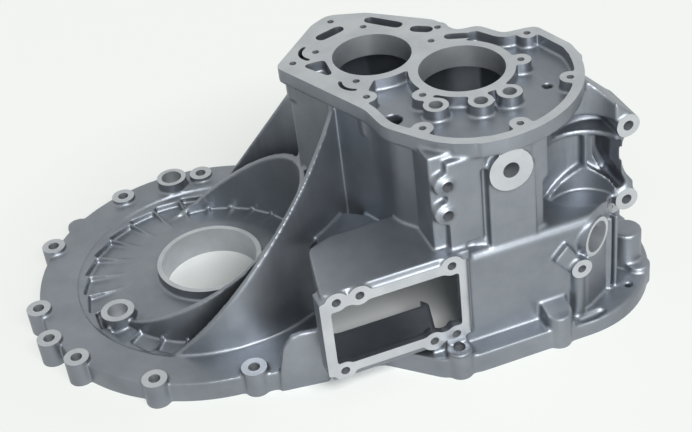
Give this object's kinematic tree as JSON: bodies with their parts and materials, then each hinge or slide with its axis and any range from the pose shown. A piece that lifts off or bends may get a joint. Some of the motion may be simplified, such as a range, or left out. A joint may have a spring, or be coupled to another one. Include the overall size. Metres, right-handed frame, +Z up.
{
  "type": "transmission housing",
  "caption": "Aluminium die-cast transaxle housing with a flat bolted mating flange, a ribbed final drive end, a tower with two bearing bores and a side window",
  "frame": {"origin": "axis of the final drive bore, in the plane of the mating face", "axes": "+X from the final drive bore to the tower, along the window wall; +Y away from the window; +Z up from the mating face, along the bores"},
  "size_m": [0.4619, 0.3305, 0.183],
  "materials": {
    "cast_aluminium": "as cast, with machined faces"
  },
  "bodies": {
    "root": {"housing": "cast_aluminium"}
  },
  "joints": []
}
